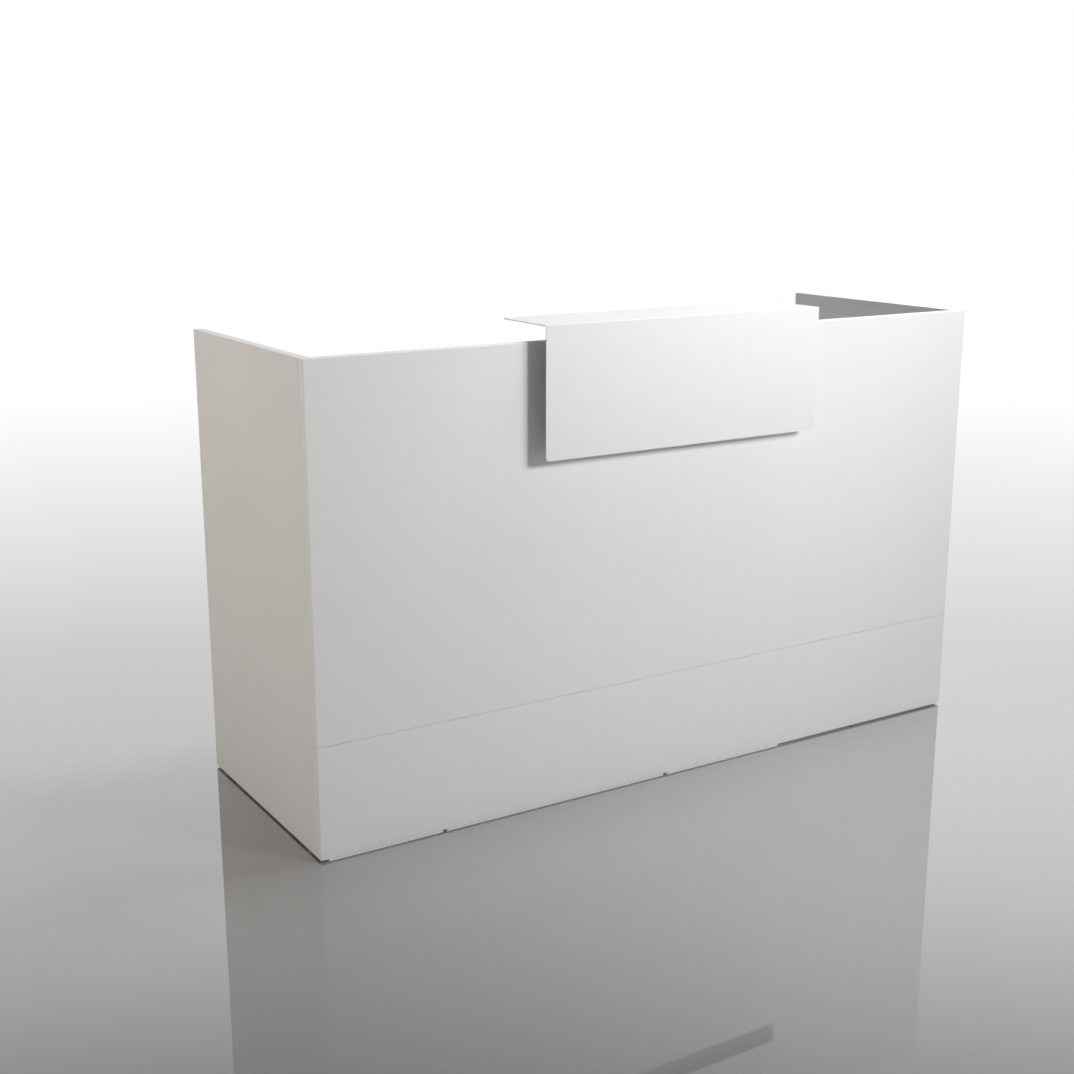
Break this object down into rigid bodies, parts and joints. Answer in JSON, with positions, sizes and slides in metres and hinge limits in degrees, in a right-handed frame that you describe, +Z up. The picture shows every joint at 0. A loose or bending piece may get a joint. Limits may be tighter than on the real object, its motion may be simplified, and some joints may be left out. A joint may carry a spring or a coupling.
{
  "type": "reception desk",
  "caption": "Free-standing reception desk: white board front and sides round a worktop, with a folded steel counter standing over the middle of the front, on levelling feet.",
  "frame": {"origin": "on the floor, under the middle of the whole footprint, counter flange included", "axes": "+Z up, +X along the front to the visitor's right, +Y from the visitor's side to the user's side"},
  "size_m": [1.88, 0.683, 1.14],
  "materials": {
    "white_board": "white melamine face on particle board, satin, with edge bands",
    "counter_white": "fine white powder coat on folded sheet steel",
    "bracket_grey": "light grey powder coat",
    "zinc": "bright zinc plate",
    "yellow_zinc": "yellow passivated zinc plate",
    "port_plastic": "fine textured moulding",
    "beech": "bare fluted beech"
  },
  "bodies": {
    "carcass": {"front_panel": "white_board", "plinth_panel": "white_board", "side_panel_left": "white_board", "side_panel_right": "white_board", "worktop": "white_board", "counter": "counter_white", "counter_bracket_left": "bracket_grey", "counter_bracket_centre": "bracket_grey", "counter_bracket_right": "bracket_grey", "worktop_rail_left": "bracket_grey", "worktop_rail_right": "bracket_grey", "worktop_clip_left": "bracket_grey", "worktop_clip_centre": "bracket_grey", "worktop_clip_right": "bracket_grey", "joint_plate_left": "bracket_grey", "joint_plate_centre": "bracket_grey", "joint_plate_right": "bracket_grey", "seam_dowel_1": "beech", "seam_dowel_2": "beech", "seam_dowel_3": "beech", "seam_dowel_4": "beech", "cam_lock_left_1": "zinc", "cam_lock_left_2": "zinc", "cam_lock_left_3": "zinc", "cam_lock_left_4": "zinc", "cam_lock_right_1": "zinc", "cam_lock_right_2": "zinc", "cam_lock_right_3": "zinc", "cam_lock_right_4": "zinc", "cam_bolt_left_1": "zinc", "cam_bolt_left_2": "zinc", "cam_bolt_left_3": "zinc", "cam_bolt_left_4": "zinc", "cam_bolt_right_1": "zinc", "cam_bolt_right_2": "zinc", "cam_bolt_right_3": "zinc", "cam_bolt_right_4": "zinc", "foot_sleeve_front_left": "zinc", "foot_sleeve_front_centre": "zinc", "foot_sleeve_front_right": "zinc", "foot_sleeve_side_left_front": "zinc", "foot_sleeve_side_left_back": "zinc", "foot_sleeve_side_right_front": "zinc", "foot_sleeve_side_right_back": "zinc", "port_ring_left": "port_plastic", "port_ring_right": "port_plastic"},
    "foot_front_left": {"foot_front_left": "yellow_zinc"},
    "foot_front_centre": {"foot_front_centre": "yellow_zinc"},
    "foot_front_right": {"foot_front_right": "yellow_zinc"},
    "foot_side_left_front": {"foot_side_left_front": "yellow_zinc"},
    "foot_side_left_back": {"foot_side_left_back": "yellow_zinc"},
    "foot_side_right_front": {"foot_side_right_front": "yellow_zinc"},
    "foot_side_right_back": {"foot_side_right_back": "yellow_zinc"},
    "port_lid_left": {"port_lid_left": "port_plastic"},
    "port_lid_right": {"port_lid_right": "port_plastic"}
  },
  "joints": [
    {"name": "level_front_left", "type": "slide", "parent": "carcass", "child": "foot_front_left", "axis": [0, 0, -1], "range_m": [0, 0.012]},
    {"name": "level_front_centre", "type": "slide", "parent": "carcass", "child": "foot_front_centre", "axis": [0, 0, -1], "range_m": [0, 0.012]},
    {"name": "level_front_right", "type": "slide", "parent": "carcass", "child": "foot_front_right", "axis": [0, 0, -1], "range_m": [0, 0.012]},
    {"name": "level_side_left_front", "type": "slide", "parent": "carcass", "child": "foot_side_left_front", "axis": [0, 0, -1], "range_m": [0, 0.012]},
    {"name": "level_side_left_back", "type": "slide", "parent": "carcass", "child": "foot_side_left_back", "axis": [0, 0, -1], "range_m": [0, 0.012]},
    {"name": "level_side_right_front", "type": "slide", "parent": "carcass", "child": "foot_side_right_front", "axis": [0, 0, -1], "range_m": [0, 0.012]},
    {"name": "level_side_right_back", "type": "slide", "parent": "carcass", "child": "foot_side_right_back", "axis": [0, 0, -1], "range_m": [0, 0.012]},
    {"name": "lid_lift_left", "type": "slide", "parent": "carcass", "child": "port_lid_left", "axis": [0, 0, 1], "range_m": [0, 0.03]},
    {"name": "lid_lift_right", "type": "slide", "parent": "carcass", "child": "port_lid_right", "axis": [0, 0, 1], "range_m": [0, 0.03]}
  ]
}
